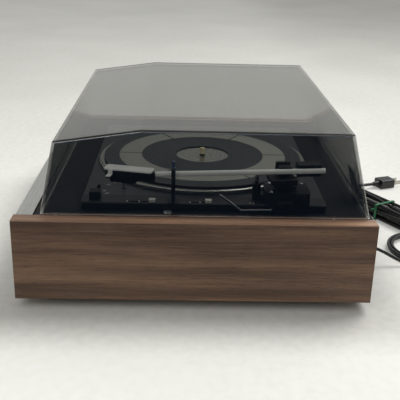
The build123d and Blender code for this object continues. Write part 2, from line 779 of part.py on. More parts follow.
# Dust cover: sloped walls, bent top, one moulding
def cover_profile(z0):
    def at(low, high, z):
        return low + (high - low) * (z - cover_low) / cover_height

    front_low = cover_front + cover_front_lean * (z0 - cover_low) / cover_front_height
    return [
        (front_low, z0),
        (cover_front + cover_front_lean, cover_low + cover_front_height),
        (cover_bend, cover_low + cover_height),
        (cover_rear - cover_rear_lean, cover_low + cover_height),
        (at(cover_rear, cover_rear - cover_rear_lean, z0), z0),
    ]


def cover_section(z0):
    lean = cover_side_lean * (z0 - cover_low) / cover_height
    return [
        (-cover_x + lean, z0),
        (-cover_x + cover_side_lean, cover_low + cover_height),
        (cover_x - cover_side_lean, cover_low + cover_height),
        (cover_x - lean, z0),
    ]


def cover_solid(z0, inset):
    with BuildPart() as solid:
        with BuildSketch(Plane.YZ):
            with BuildLine():
                Polyline(*cover_profile(z0), close=True)
            make_face()
            if inset:
                offset(amount=-inset, kind=Kind.INTERSECTION)
        extrude(amount=plinth_width / 2, both=True)
        with BuildSketch(Plane.XZ):
            with BuildLine():
                Polyline(*cover_section(z0), close=True)
            make_face()
            if inset:
                offset(amount=-inset, kind=Kind.INTERSECTION)
        extrude(amount=plinth_depth, both=True, mode=Mode.INTERSECT)
        upper = solid.edges().filter_by(lambda e: e.center().Z > z0 + 0.5 + inset)
        fillet(upper, cover_round - inset if inset else cover_round)
    return solid.part


cover_outer = cover_solid(cover_low, 0)
cover_inner = cover_solid(cover_low - cover_wall - 1, cover_wall)
with BuildPart() as dust_cover:
    add(cover_outer)
    add(cover_inner, mode=Mode.SUBTRACT)
save(dust_cover, "dust_cover")

# Bumpers under the cover's edge
with BuildPart() as cover_bumpers:
    for side in (-1, 1):
        for y in (cover_front + bumper_inset, -cover_front - bumper_inset):
            post(side * (cover_x - cover_wall / 2), y, panel_top, cover_low, bumper_radius)
save(cover_bumpers, "cover_bumpers")

# Hinges at the back: fixed leaves with staked pins, let into the rail, and the leaves on the cover
hinge_z = cover_low + hinge_rise
knuckle_end = knuckle_width / 2 + gap + 8.0
with BuildPart() as hinge_leaves:
    for x in (-hinge_x, hinge_x):
        back = half_depth - leaf_thickness
        block(x - leaf_width / 2, x + leaf_width / 2, back, half_depth, deck_top - leaf_height, deck_top + 2)
        block(x - knuckle_width / 2, x + knuckle_width / 2, hinge_y, half_depth, deck_top + 2, hinge_z)
        rod_x(x - knuckle_width / 2, x + knuckle_width / 2, hinge_y, hinge_z, knuckle_radius)
        rod_x(x - knuckle_end, x + knuckle_end, hinge_y, hinge_z, hinge_pin_radius)
save(hinge_leaves, "hinge_leaves")

rear_slope = math.atan(cover_rear_lean / cover_height)
leaf_z = hinge_z + 4
leaf_y = cover_rear - cover_rear_lean * (leaf_z - cover_low) / cover_height
with BuildPart() as cover_leaves:
    for x in (-hinge_x, hinge_x):
        leaf_normal = (0, math.cos(rear_slope), math.sin(rear_slope))
        leaf = Plane((x, leaf_y, leaf_z), x_dir=(1, 0, 0), z_dir=leaf_normal)
        with BuildSketch(leaf):
            with Locations((0, -leaf_height / 2)):
                Rectangle(leaf_width, leaf_height)
        extrude(amount=leaf_thickness)
        with BuildSketch(leaf):
            for side in (-1, 1):
                with Locations((side * (knuckle_end + knuckle_width / 2 + gap) / 2, 1.5)):
                    Rectangle(knuckle_end - knuckle_width / 2 - gap, 7)
        extrude(amount=2.6)
        rod_x(x - knuckle_end, x - knuckle_width / 2 - gap, hinge_y, hinge_z, knuckle_radius)
        rod_x(x + knuckle_width / 2 + gap, x + knuckle_end, hinge_y, hinge_z, knuckle_radius)
        pin_hole = hinge_pin_radius + running_fit
        rod_x(x - knuckle_end, x + knuckle_end, hinge_y, hinge_z, pin_hole, Mode.SUBTRACT)
save(cover_leaves, "cover_leaves")

# Strain reliefs where the leads leave the rear rail
gland_end = half_depth + gland_length
exits = [(mains_exit_x, mains_exit_z, mains_diameter), (phono_exit_x, phono_exit_z, phono_diameter)]
with BuildPart() as cord_glands:
    for x, z, diameter in exits:
        rod_y(x, half_depth - rail_thickness, half_depth + gap, z, gland_radius - running_fit)
        with Locations(Location((x, half_depth + gap + gland_length / 2, z), (-90, 0, 0))):
            Cone(gland_radius + 1.5, diameter / 2 + 0.6, gland_length)
save(cord_glands, "cord_glands")


# Cords
def turn_radii(points):
    radii = []
    for i in range(1, len(points) - 1):
        before = Vector(points[i]) - Vector(points[i - 1])
        after = Vector(points[i + 1]) - Vector(points[i])
        turn = math.radians(before.get_angle(after))
        radii.append(0.45 * min(before.length, after.length) / math.tan(turn / 2))
    return radii


def cord_tubes(routes, diameter, name):
    with BuildPart() as tubes:
        for points in routes:
            radii = turn_radii(points)
            with BuildLine() as route:
                FilletPolyline(*points, radius=radii)
            with BuildSketch(Plane(route.wire() @ 0, z_dir=route.wire() % 0)) as section:
                Circle(diameter / 2)
            sweep(sections=section.sketch, path=route.wire())
            print(name, "length", round(route.wire().length, 1), "radii", [round(r, 1) for r in radii])
    runs = sum(solid.volume for solid in tubes.solids()) / (math.pi * diameter**2 / 4)
    print(name, "volume over section", round(runs, 1))
    save(tubes, name)


def wound_columns(count, layers):
    """The column and the first and last layer of each run: two turns in, two turns out, and so on upwards."""
    runs = [(1, 0, 0), (1, 0, 0), (0, 0, 0), (0, 0, min(1, layers - 1))]
    for layer in range(1, layers):
        columns = (0, 1, 1) if layer % 2 else (1, 0, 0)
        for i, column in enumerate(columns):
            runs.append((column, layer, min(layer + 1, layers - 1) if i == 2 else layer))
    return runs[:count]


def wound_tube(name, place, heading, run, inner, diameter, count, layers):
    step = diameter + wind_step_gap
    turn = math.radians(heading)
    frame = Plane(place, x_dir=(math.cos(turn), math.sin(turn), 0), z_dir=(0, 0, 1))

    def at(u, v, z):
        return frame.from_local_coords((u, v, z))

    runs = wound_columns(count, layers)
    with BuildLine() as route:
        for i, (column, first, last) in enumerate(runs):
            ahead = 1 if i % 2 == 0 else -1
            v = -ahead * (inner + column * step)
            u = ahead * run / 2
            low = first * step
            high = last * step
            if i == 0:
                Line(at(-u - diameter, v, low), at(-u, v, low))
            if first == last:
                Line(at(-u, v, low), at(u, v, high))
            else:
                rise = high - low
                bend = (run**2 + rise**2) / (4 * rise)
                half = math.asin(run / 2 / bend) / 2
                near_u = run / 2 - bend * math.sin(half)
                near_z = bend * (1 - math.cos(half))
                centre = at(0, v, (low + high) / 2)
                ThreePointArc(at(-u, v, low), at(-ahead * near_u, v, low + near_z), centre)
                ThreePointArc(centre, at(ahead * near_u, v, high - near_z), at(u, v, high))
            if i == len(runs) - 1:
                Line(at(u, v, high), at(u + ahead * diameter, v, high))
            else:
                next_v = ahead * (inner + runs[i + 1][0] * step)
                reach = u + ahead * abs(next_v - v) / 2
                ThreePointArc(at(u, v, high), at(reach, (v + next_v) / 2, high), at(u, next_v, high))
    line = route.wire()
    with BuildSketch(Plane(line @ 0, z_dir=line % 0)) as section:
        Circle(diameter / 2)
    with BuildPart() as tube:
        sweep(sections=section.sketch, path=line)
    samples = int(line.length / 3)
    points = [line @ (i / samples) for i in range(samples + 1)]
    spread = int(4 * diameter / 3)
    least = min(
        (points[i] - points[j]).length for i in range(len(points)) for j in range(i + spread, len(points))
    )
    print(name, "length", round(line.length, 1), "least gap", round(least - diameter, 2))
    expected = line.length * math.pi * diameter**2 / 4
    print(name, "volume over expected", round(tube.part.volume / expected, 4))
    save(tube, name)
    return line @ 0, line @ 1


tie_thickness = 0.8
hank_low = mains_diameter / 2 + tie_thickness + 0.2
lead_in = 18.0
hank_turn = math.radians(hank_heading)
hank_along = Vector(math.cos(hank_turn), math.sin(hank_turn), 0)
hank_start, hank_end = wound_tube(
    "mains_hank", (hank_x, hank_y, hank_low), hank_heading, hank_run, hank_inner, mains_diameter, 12, 4
)
mains_route = [
    (mains_exit_x, gland_end + gap, mains_exit_z),
    (-178, 225, 30),
    (-169, 240, 20),
    (-153, 242, 9),
    (-136, 234, 4),
    tuple(hank_start - hank_along * lead_in),
    tuple(hank_start),
]
tail_route = [
    tuple(hank_end),
    tuple(hank_end - hank_along * lead_in),
    (-151, 254, 14),
    (-168, 264, 9),
    (-177, 280, 7.6),
    (-184, 298, 7.6),
]
cord_tubes([mains_route, tail_route], mains_diameter, "mains_lead")
print("hank from", hank_start, "to", hank_end)

coil_start, coil_end = wound_tube(
    "phono_coil", (coil_x, coil_y, phono_diameter / 2), 90.0, coil_run, coil_inner, phono_diameter, 7, 2
)
phono_route = [
    (phono_exit_x, gland_end + gap, phono_exit_z),
    (104, 221, 27),
    (103.5, 238, 20),
    (104, 255, 10.5),
    (107, 272, 3.5),
    tuple(coil_start - Vector(0, lead_in, 0)),
    tuple(coil_start),
]
phono_tail = [
    tuple(coil_end),
    (coil_end.X, 352, coil_end.Z),
    (116, 362, 6.6),
    (123, 370, 6.6),
]
cord_tubes([phono_route, phono_tail], phono_diameter, "phono_lead")
print("coil from", coil_start, "to", coil_end)

# Twist tie round the middle of the hank
tie_half = hank_inner + mains_diameter * 1.5 + wind_step_gap + gap
tie_high = hank_low + 3 * (mains_diameter + wind_step_gap) + mains_diameter / 2 + gap
tie_plane = Plane((hank_x, hank_y, 0), x_dir=(math.cos(hank_turn), math.sin(hank_turn), 0), z_dir=(0, 0, 1))
with BuildPart(tie_plane) as hank_tie:
    block(-2, 2, -tie_half - tie_thickness, tie_half + tie_thickness, 0.05, tie_high + tie_thickness)
    block(-2, 2, -tie_half, tie_half, 0.05 + tie_thickness, tie_high, Mode.SUBTRACT)
    block(-0.8, 0.8, -tie_half - 9, -tie_half - tie_thickness, tie_high - 6, tie_high - 4.4)
save(hank_tie, "hank_tie")

# Plugs
plug_plane = Plane(tail_route[-1], x_dir=Vector(tail_route[-1]) - Vector(tail_route[-2]), z_dir=(0, 0, 1))
with BuildPart(plug_plane) as mains_plug:
    with Locations(Location((5, 0, 0), (0, 90, 0))):
        Cone(mains_diameter / 2 + 1, 5, 10)
    block(10, 34, -11, 11, -7.3, 7.3)
    fillet(mains_plug.edges().filter_by(lambda e: abs(e.length - 24) < 0.01), 3)
    for side in (-1, 1):
        block(34, 50, side * 6.35 - 0.75, side * 6.35 + 0.75, -3.1, 3.1)
save(mains_plug, "mains_plug")

phono_plane = Plane(phono_tail[-1], x_dir=Vector(phono_tail[-1]) - Vector(phono_tail[-2]), z_dir=(0, 0, 1))
with BuildPart(phono_plane) as phono_plug:
    with Locations(Location((5, 0, 0), (0, 90, 0))):
        Cone(phono_diameter / 2 + 0.8, 4.5, 10)
    rod_x(10, 28, 0, 0, 6.3)
    rod_x(28, 38, 0, 0, 5.8)
    rod_x(30, 38, 0, 0, 5.0, Mode.SUBTRACT)
    for turn in range(5):
        angle = math.radians(180 / 4 * turn)
        rod_x(29, 37, 3.2 * math.cos(angle), 3.2 * math.sin(angle) - 1, 0.7)
save(phono_plug, "phono_plug")
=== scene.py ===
# %% [markdown]
# A record changer in a walnut plinth, seen from its right-hand side through a smoked dust cover.
# The shapes come from a CAD model in millimetres. Here each surface gets its finish, and the small
# things that CAD leaves plain, such as cords, printed marks and screw heads, get their own meshes.
# The script loads the model and keeps every part in its place.

# %% Load the model
import math

import bmesh
import bpy
from mathutils import Matrix, Vector


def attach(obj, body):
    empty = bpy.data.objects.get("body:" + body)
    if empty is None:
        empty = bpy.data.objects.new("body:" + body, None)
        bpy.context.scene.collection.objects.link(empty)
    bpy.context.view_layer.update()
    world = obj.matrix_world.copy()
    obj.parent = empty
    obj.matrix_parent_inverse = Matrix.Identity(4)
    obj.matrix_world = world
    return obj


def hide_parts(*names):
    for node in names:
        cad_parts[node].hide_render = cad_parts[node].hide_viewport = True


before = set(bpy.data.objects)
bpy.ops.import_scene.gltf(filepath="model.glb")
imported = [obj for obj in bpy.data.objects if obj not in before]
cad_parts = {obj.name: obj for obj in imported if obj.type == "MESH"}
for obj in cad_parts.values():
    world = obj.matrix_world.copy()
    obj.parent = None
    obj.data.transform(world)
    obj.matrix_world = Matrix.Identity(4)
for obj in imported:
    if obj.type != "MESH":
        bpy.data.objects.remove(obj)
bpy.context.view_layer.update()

# %% [markdown]
# The camera stands off the right-hand panel, a little above the lid. Its place and lens were solved
# from the plinth's corners, which are straight lines of known length. A lens can be written as a focal
# length in pixels, and one line turns that into millimetres on a 36 mm sensor.

# %% Camera
image_pixels = 400
focal_pixels = 728.5
sensor_mm = 36
camera_place = Vector((0.9329, -0.0160, 0.4014))
yaw, pitch, roll = 0.02807, 0.36492, 0.02645


def placed(name, data):
    """A new object with this data, linked to the scene."""
    thing = bpy.data.objects.new(name, data)
    bpy.context.scene.collection.objects.link(thing)
    return thing


forward = Vector((-math.cos(yaw) * math.cos(pitch), math.sin(yaw) * math.cos(pitch), -math.sin(pitch)))
level_right = forward.cross(Vector((0, 0, 1))).normalized()
level_up = level_right.cross(forward)
right = level_right * math.cos(roll) + level_up * math.sin(roll)
up = level_up * math.cos(roll) - level_right * math.sin(roll)
turned_to_view = Matrix((right, up, -forward)).transposed().to_4x4()

lens = bpy.data.cameras.new("camera")
lens.sensor_width = sensor_mm
lens.lens = focal_pixels / image_pixels * sensor_mm
lens.clip_start = 0.01
camera = placed("camera", lens)
camera.matrix_world = Matrix.Translation(camera_place) @ turned_to_view
bpy.context.scene.camera = camera
bpy.context.scene.view_settings.view_transform = "Standard"
print("lens in mm:", round(lens.lens, 2))

# %% [markdown]
# Colours are written as the hex values that a paint chart or a photo editor shows. The renderer works
# in linear light, so one function converts them. A second small function adds a shader node with its
# settings, its links and, for a colour ramp, its stops. Its inputs are given by name, or else in the
# order in which the node lists them. A whole node as an input stands for that node's first output.

# %% Colour and node helpers
MM = 0.001


def linear(hex_colour):
    """An sRGB hex colour as linear red, green, blue and alpha."""
    parts = [int(hex_colour[i : i + 2], 16) / 255 for i in (1, 3, 5)]
    return tuple(p / 12.92 if p <= 0.04045 else ((p + 0.055) / 1.055) ** 2.4 for p in parts) + (1.0,)


def feed(tree, node, inputs):
    """Gives inputs of a node a value, another node's output, or a node's first output."""
    for name, value in inputs.items() if isinstance(inputs, dict) else enumerate(inputs):
        source = value.outputs[0] if isinstance(value, bpy.types.Node) else value
        if isinstance(source, bpy.types.NodeSocket):
            tree.links.new(source, node.inputs[name])
        else:
            node.inputs[name].default_value = source


def add(tree, kind, inputs=(), stops=(), **settings):
    """A new node. Stops are a ramp's places and hex colours, from the lowest to the highest."""
    node = tree.nodes.new(kind)
    for name, value in settings.items():
        setattr(node, name, value)
    for i, (place, colour) in enumerate(stops):
        elements = node.color_ramp.elements
        element = elements[i] if i < 2 else elements.new(place)
        element.position, element.color = place, linear(colour)
    feed(tree, node, inputs)
    return node


def new_finish(name, **even):
    """A material, its node tree and its main shader, with the values that are even all over."""
    material = bpy.data.materials.new(name)
    material.use_nodes = True
    shader = material.node_tree.nodes["Principled BSDF"]
    for socket, value in even.items():
        shader.inputs[socket.replace("_", " ")].default_value = value
    return material, material.node_tree, shader


print("mid grey #808080 is", round(linear("#808080")[0], 3), "in linear light")

# %% [markdown]
# A studio sweep: one wide pale floor, a world that lights softly from everywhere, and two soft boxes.
# The key box hangs behind and above, so the near panel stays in soft shade, as in the photograph.
# Real paper fibres are too fine to show, so a mottling of 11 mm stands for them, on broad soft clouds.
# The paper also looks brighter away from the object and nearer the camera, as the photograph's does,
# and duller under the key box. That brightness only reaches the eye: straight, or by a mirror or glass.
# It is painted light, and adds no light to the object.

# %% Floor
floor_reach = 9.0
plinth_half = (0.225, 0.195, 0)
cloud_size, mottle_size = 333 * MM, 11.1 * MM


def flat_sheet(name, corners):
    """A mesh with one four-sided face."""
    mesh = bpy.data.meshes.new(name)
    mesh.from_pydata(corners, [], [(0, 1, 2, 3)])
    return mesh


def looked_at(tree):
    """1 for rays that end in the eye, straight or by a mirror or glass, and 0 for light."""
    ray = add(tree, "ShaderNodeLightPath").outputs
    eye = ray["Is Camera Ray"]
    for way in ("Is Glossy Ray", "Is Transmission Ray"):
        eye = add(tree, "ShaderNodeMath", (eye, ray[way]), operation="MAXIMUM")
    return eye


floor_corners = [(x * floor_reach, y * floor_reach, 0) for x, y in ((-1, -1), (1, -1), (1, 1), (-1, 1))]
floor = placed("floor", flat_sheet("floor", floor_corners))

paper, tree, shader = new_finish("seamless_paper", Roughness=0.9)
place = add(tree, "ShaderNodeTexCoord").outputs["Object"]
clouds = add(tree, "ShaderNodeTexNoise", {"Vector": place, "Scale": 1 / cloud_size, "Detail": 2.0})
mottle = add(tree, "ShaderNodeTexNoise", {"Vector": place, "Scale": 1 / mottle_size, "Detail": 3.0})
both = add(tree, "ShaderNodeMath", (clouds, mottle), operation="ADD")
mean = add(tree, "ShaderNodeMath", (both, 0.5), operation="MULTIPLY")
tone = add(tree, "ShaderNodeValToRGB", (mean,), stops=((0.35, "#CFCEC8"), (0.65, "#DDDCD6")))
floor.data.materials.append(paper)
print("paper", 2 * floor_reach, "m wide")

# %% The paper's brightness by place
# Each range runs from one distance in metres to another, and then from one level to another.
clear_range, nearer_range, under_key_range = (0.01, 0.1), (-1.2, 0.4, 0.1, 0.32), (0.2, 0.6, 1.0, 0.25)
aside = add(tree, "ShaderNodeVectorMath", (place,), operation="ABSOLUTE")
beyond = add(tree, "ShaderNodeVectorMath", (aside, plinth_half), operation="SUBTRACT")
outside = add(tree, "ShaderNodeVectorMath", (beyond, (0, 0, 0)), operation="MAXIMUM")
away = add(tree, "ShaderNodeVectorMath", (outside,), operation="LENGTH").outputs["Value"]
across = add(tree, "ShaderNodeSeparateXYZ", (place,)).outputs
soft = {"interpolation_type": "SMOOTHSTEP"}
# Painted light: no glow within a centimetre of the plinth and full glow beyond ten, so the plinth's shadow
# stays dark.
glow = add(tree, "ShaderNodeMapRange", (away, *clear_range), **soft)
nearer = add(tree, "ShaderNodeMapRange", (across["X"], *nearer_range), **soft)
under_key = add(tree, "ShaderNodeMapRange", (across["Y"], *under_key_range), **soft)
for share in (nearer, under_key, looked_at(tree)):
    glow = add(tree, "ShaderNodeMath", (glow, share), operation="MULTIPLY")
glow_colour = linear("#FFFFFA")
feed(tree, shader, {"Base Color": tone, "Emission Color": glow_colour, "Emission Strength": glow})
print("the paper glows beyond", clear_range[0], "m from the plinth")

# %% [markdown]
# The world has two levels. One is how strongly it lights, and the other is how bright it looks.
# The glossy wall of a lid mirrors whatever stands before it. Two dark cards, which only mirrors see,
# keep it from turning white, as the dark of a room does.

# %% World and lamps
light_level, seen_level = 0.42, 0.62
world = bpy.data.worlds.new("soft_studio")
bpy.context.scene.world = world
world.use_nodes = True
sky = world.node_tree
background = sky.nodes["Background"]
level = add(sky, "ShaderNodeMapRange", (looked_at(sky), 0.0, 1.0, light_level, seen_level))
feed(sky, background, {"Color": linear("#FBFBF8"), "Strength": level})


def soft_box(name, place, target, side, watts):
    """A square lamp with its side in metres, turned to the target."""
    lamp = bpy.data.lights.new(name, "AREA")
    lamp.shape = "SQUARE"
    lamp.size = side
    lamp.energy = watts
    box = placed(name, lamp)
    box.location = place
    box.rotation_euler = (Vector(target) - Vector(place)).to_track_quat("-Z", "Y").to_euler()


def dark_card(name, corners):
    """A card that only mirrors see. It keeps a shiny wall dark, as a dark room does."""
    card = placed(name, flat_sheet(name, corners))
    card.visible_camera = card.visible_diffuse = card.visible_transmission = card.visible_shadow = False
    card.data.materials.append(painted_room_reflection)


# The cards' blue grey is a painted reflection of a dim, cool room, which only mirrors show.
painted_room_reflection, tree, shader = new_finish("painted_dark_room_reflection", Roughness=1.0, Specular_IOR_Level=0.0)
shader.inputs["Base Color"].default_value = linear("#3C5068")
card_near, card_far, card_side, card_top = 0.32, 1.3, 1.6, 1.0
low_card = [(card_near, -card_side, MM), (card_far, -card_side, MM)]
low_card += [(card_far, card_side, MM), (card_near, card_side, MM)]
high_card = [(card_far, -card_side, 0), (card_far, card_side, 0)]
high_card += [(card_far, card_side, card_top), (card_far, -card_side, card_top)]
dark_card("low_card", low_card)
dark_card("high_card", high_card)

soft_box("key_box", place=(-0.6, 1.0, 1.7), target=(0.0, 0.0, 0.1), side=1.2, watts=26)
soft_box("front_box", place=(1.6, -0.9, 1.5), target=(0.1, 0.0, 0.1), side=1.4, watts=9)

# %% [markdown]
# Two black leads leave the back. Most of their length is wound up as for storage: the mains lead in a
# hank held by a twist tie, the signal lead in a loose oval coil. A cord is drawn as one smooth spline
# through a few points, because a lead of even stiffness never bends at a corner. The turns are worked
# out from the coil's own sizes: a straight run, then five points round each end. A long run also gets
# two points at its quarters. The points of a spline of this kind stand a little outside its bend.
# The cord's thickness is given as the radius of each point, so that the curve's box fits it closely.

# %% Cord routes
mains_diameter = 4.8 * MM
signal_diameter = 4.0 * MM
turn_gap = 0.7 * MM
end_turns = (-72, -36, 0, 36, 72)
half_step = math.radians((end_turns[1] - end_turns[0]) / 2)


def wound(place, heading, run, inner, step, runs):
    """Points of a hank or oval coil; runs lists the column and the first and last layer of each run."""
    to_frame = Matrix.Translation(place) @ Matrix.Rotation(math.radians(heading), 4, "Z")
    local = []
    for i, (column, first, last) in enumerate(runs):
        ahead = 1 if i % 2 == 0 else -1
        side = -ahead * (inner + column * step)
        low, high = first * step, last * step
        quarter = run / 4
        if quarter > 2 * inner * math.tan(half_step):
            local += [(-ahead * quarter, side, low), (ahead * quarter, side, high)]
        if i + 1 < len(runs):
            beyond = ahead * (inner + runs[i + 1][0] * step)
            middle, radius = (side + beyond) / 2, abs(beyond - side) / 2
            end = ahead * (run / 2 - radius * math.tan(half_step))
            out = radius / math.cos(half_step)
            local.append((end, side, high))
            for angle in map(math.radians, end_turns):
                forth = ahead * (run / 2 + out * math.cos(angle))
                local.append((forth, middle + ahead * out * math.sin(angle), high))
            local.append((end, beyond, high))
    return [to_frame @ Vector(point) for point in local]


hank_runs = [(1, 0, 0), (1, 0, 0), (0, 0, 0), (0, 0, 1), (0, 1, 1), (1, 1, 1)]
hank_runs += [(1, 1, 2), (1, 2, 2), (0, 2, 2), (0, 2, 3), (0, 3, 3), (1, 3, 3)]
coil_runs = [(1, 0, 0), (1, 0, 0), (0, 0, 0), (0, 0, 1), (0, 1, 1), (1, 1, 1), (1, 1, 1)]
hank_place, hank_heading, hank_run, hank_inner = Vector((-58, 283, 3.4)) * MM, 30, 110 * MM, 9 * MM
coil_place, coil_heading, coil_run, coil_inner = Vector((62, 324, 2)) * MM, 90, 30 * MM, 44 * MM
hank = wound(hank_place, hank_heading, hank_run, hank_inner, mains_diameter + turn_gap, hank_runs)
coil = wound(coil_place, coil_heading, coil_run, coil_inner, signal_diameter + turn_gap, coil_runs)

mains_out = [(-178, 204.3, 30), (-178, 225, 30), (-169, 240, 20), (-153, 242, 9), (-136, 234, 4)]
mains_out += [(-118.13, 231.54, 3.4), (-102.538, 240.543, 3.4)]
mains_tail = [(-117.038, 265.657, 19.9), (-132.63, 256.66, 19.9), (-151, 254, 14)]
mains_tail += [(-168, 264, 9), (-177, 280, 7.6), (-184, 298, 7.6)]
signal_out = [(104, 204.3, 27), (104, 221, 27), (103.5, 238, 20), (104, 255, 10.5), (107, 272, 3.5)]
signal_out += [(110.7, 287, 2), (110.7, 305, 2)]
signal_tail = [(110.7, 343, 6.7), (110.7, 352, 6.7), (116, 362, 6.6), (123, 370, 6.6)]


def to_metres(points):
    """Points in mm as vectors in metres."""
    return [Vector(point) * MM for point in points]


def lead(name, points, diameter):
    """One cord as a smooth spline through its points."""
    curve = bpy.data.curves.new(name, "CURVE")
    curve.dimensions = "3D"
    curve.bevel_depth = 1.0
    curve.bevel_resolution = 5
    curve.resolution_u = 8
    curve.use_fill_caps = True
    spline = curve.splines.new("NURBS")
    spline.points.add(len(points) - 1)
    for control, point in zip(spline.points, points):
        control.co = (*point, 1)
        control.radius = diameter / 2
    spline.order_u = 3
    spline.use_endpoint_u = True
    cord = placed(name, curve)
    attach(cord, "root")
    return cord


def spline_length(cord):
    """The length of a cord's middle line, measured on a copy with no thickness."""
    bare = cord.data.copy()
    bare.bevel_depth = 0
    probe = bpy.data.objects.new("probe", bare)
    mesh = bpy.data.meshes.new_from_object(probe)
    ends = ([mesh.vertices[i].co for i in edge.vertices] for edge in mesh.edges)
    total = sum((one - two).length for one, two in ends)
    bpy.data.objects.remove(probe)
    return total


# %% The two leads
mains_lead = lead("mains_lead_cord", to_metres(mains_out) + hank + to_metres(mains_tail), mains_diameter)
signal_lead = lead("signal_lead_cord", to_metres(signal_out) + coil + to_metres(signal_tail), signal_diameter)
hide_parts("mains_lead", "mains_hank")
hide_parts("phono_lead", "phono_coil")
for cord in (mains_lead, signal_lead):
    print(cord.name, "is", round(spline_length(cord), 3), "m long")

# %% [markdown]
# Most finishes are one base with small changes: a noise at the size of the real grain tints the
# colour, shifts the roughness and raises a faint bump. Real paint, plastic and rubber are never
# perfectly even, and this is what keeps them from looking like a flat computer colour.
# A stretched noise draws brushing, because each scratch is long one way and thin the other.
# A noise seldom leaves the range from 0.3 to 0.7, so that is the range that is spread over a finish.


# %% Noise that colours, dulls and raises a surface
noise_range = (0.3, 0.7)


def worked(name, colours, grain, rough, depth=0.0, stretch=(1, 1, 1), **even):
    """A finish with a grain and a bump of these sizes in mm; rough is its range of roughness."""
    material, tree, shader = new_finish(name, **even)
    place = add(tree, "ShaderNodeTexCoord").outputs["Object"]
    sized = add(tree, "ShaderNodeMapping", {"Vector": place, "Scale": stretch})
    size = {"Scale": 1 / (grain * MM), "Detail": 4.0, "Roughness": 0.6}
    pattern = add(tree, "ShaderNodeTexNoise", {"Vector": sized} | size)
    tone = add(tree, "ShaderNodeValToRGB", (pattern,), stops=zip((0.32, 0.68), colours))
    dull = add(tree, "ShaderNodeMapRange", (pattern, *noise_range, *rough))
    feed(tree, shader, {"Base Color": tone, "Roughness": dull})
    if depth:
        relief = add(tree, "ShaderNodeBump", {"Height": pattern, "Distance": depth * MM, "Strength": 1.0})
        feed(tree, shader, {"Normal": relief})
    return material


def dress(material, *names):
    """Gives CAD parts this finish in every material slot."""
    for name in names:
        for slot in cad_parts[name].material_slots:
            slot.material = material
    print(material.name, "on", ", ".join(names))


# %% [markdown]
# The side panels are boards faced with walnut veneer, with a satin oil finish. Walnut's figure has
# three sizes: broad bands a centimetre or two high, fine fibres, and short dark pores. Real fibres are
# under a millimetre; they are drawn 1.3 mm high so that they show.
# All three run along the panel, so each noise is stretched along Y. The bands wander slightly, which
# a low-frequency distortion gives. The top faces of the panels are drawn twice as bright, a painted
# highlight for the light that falls on them from above.

# %% Walnut veneer
wander_size, wander_reach = 250 * MM, 16 * MM
figure = (("bands", 17.0, 420.0), ("fibres", 1.3, 60.0), ("pores", 0.55, 14.0))
browns = ((0.30, "#523D2F"), (0.5, "#6B5140"), (0.72, "#8C6E55"))
fibre_levels, fibre_sheen = (0.74, 1.22), (0.36, 0.52)
pore_range, top_highlight_range = (0.34, 0.44, 0.62, 1.0), (0.1032, 0.1038, 1.0, 2.0)

walnut, tree, shader = new_finish("walnut_veneer", IOR=1.47)
place = add(tree, "ShaderNodeTexCoord").outputs["Object"]
wander = add(tree, "ShaderNodeTexNoise", {"Vector": place, "Scale": 1 / wander_size, "Detail": 1.0})
drift = {0: wander.outputs["Color"], "Scale": wander_reach}
shift = add(tree, "ShaderNodeVectorMath", drift, operation="SCALE")
bent = add(tree, "ShaderNodeVectorMath", (place, shift), operation="ADD")
layers = {}
for layer, height, length in figure:
    along = add(tree, "ShaderNodeMapping", {"Vector": bent, "Scale": (1, height / length, 1)})
    size = {"Scale": 1 / (height * MM), "Detail": 3.0, "Roughness": 0.55}
    layers[layer] = add(tree, "ShaderNodeTexNoise", {"Vector": along} | size)
print("figure of the walnut, height and length in mm:", figure)

# %% Walnut colour and sheen
brown = add(tree, "ShaderNodeValToRGB", (layers["bands"],), stops=browns)
fibre_tone = add(tree, "ShaderNodeMapRange", (layers["fibres"], *noise_range, *fibre_levels))
pore_tone = add(tree, "ShaderNodeMapRange", (layers["pores"], *pore_range))
shade = add(tree, "ShaderNodeMath", (fibre_tone, pore_tone), operation="MULTIPLY")
shaded = add(tree, "ShaderNodeVectorMath", {0: brown, "Scale": shade}, operation="SCALE")
level = add(tree, "ShaderNodeSeparateXYZ", (place,)).outputs["Z"]
# Painted highlight: the panels' top faces are drawn twice as bright.
painted_top_highlight = add(tree, "ShaderNodeMapRange", (level, *top_highlight_range))
veneer = add(tree, "ShaderNodeVectorMath", {0: shaded, "Scale": painted_top_highlight}, operation="SCALE")
satin = add(tree, "ShaderNodeMapRange", (layers["fibres"], *noise_range, *fibre_sheen))
relief = add(tree, "ShaderNodeBump", {"Height": shade, "Distance": 0.12 * MM, "Strength": 0.7})
feed(tree, shader, {"Base Color": veneer, "Roughness": satin, "Normal": relief})
dress(walnut, "side_panels")

# %% [markdown]
# The rest of the plinth: particle board sides and bottom, a deck board painted flat black, and a thin
# brushed aluminium strip that is folded over the front edge.

# %% Boards and trim
chip_board = worked("particle_board", ("#7A6145", "#B49A76"), grain=3.0, rough=(0.75, 0.9), depth=0.2)
flat_black, flat = ("#0D0F12", "#191C20"), {"Specular_IOR_Level": 0.2}
black_board = worked("black_painted_board", flat_black, grain=1.2, rough=(0.5, 0.68), depth=0.05, **flat)
mill_grey, brushed = ("#A6A7A3", "#CFD0CC"), {"stretch": (0.02, 1, 1), "Metallic": 0.8}
trim = worked("brushed_aluminium", mill_grey, grain=0.35, rough=(0.28, 0.46), depth=0.01, **brushed)
dress(chip_board, "front_rail", "base_board", "corner_blocks")
dress(black_board, "rear_rail", "deck_board")
dress(trim, "front_trim")

